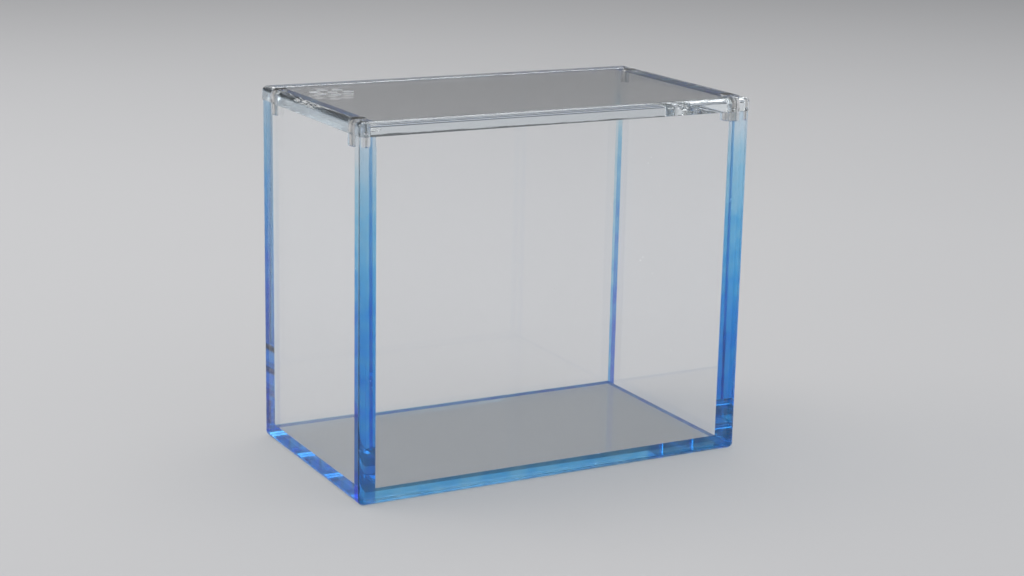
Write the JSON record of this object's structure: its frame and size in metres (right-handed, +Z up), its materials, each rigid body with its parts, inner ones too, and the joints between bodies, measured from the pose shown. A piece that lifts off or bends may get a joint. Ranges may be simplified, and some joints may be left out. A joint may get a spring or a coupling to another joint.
{
  "type": "card deck box",
  "caption": "Clear acrylic box for a boxed set of collecting cards: five glued panels and a lift-off slab lid held shut by small magnets in the corners.",
  "frame": {"origin": "centre of the footprint, on the plane the box stands on", "axes": "+X along the long side to the right, +Y from the front panel to the back panel, +Z up"},
  "size_m": [0.1536, 0.0886, 0.1325],
  "materials": {
    "body_acrylic": "flame-polished clear acrylic with a blue tint that shows in the sheet edges",
    "lid_acrylic": "polished colourless clear acrylic",
    "magnet_nickel": "bright nickel plating"
  },
  "bodies": {
    "box": {"base_panel": "body_acrylic", "front_panel": "body_acrylic", "back_panel": "body_acrylic", "left_panel": "body_acrylic", "right_panel": "body_acrylic", "box_magnet_front_left": "magnet_nickel", "box_magnet_front_right": "magnet_nickel", "box_magnet_back_left": "magnet_nickel", "box_magnet_back_right": "magnet_nickel"},
    "lid": {"lid_panel": "lid_acrylic", "lid_magnet_front_left": "magnet_nickel", "lid_magnet_front_right": "magnet_nickel", "lid_magnet_back_left": "magnet_nickel", "lid_magnet_back_right": "magnet_nickel"}
  },
  "joints": [
    {"name": "lid_lift", "type": "slide", "parent": "box", "child": "lid", "axis": [0, 0, 1], "range_m": [0, 0.14]}
  ]
}
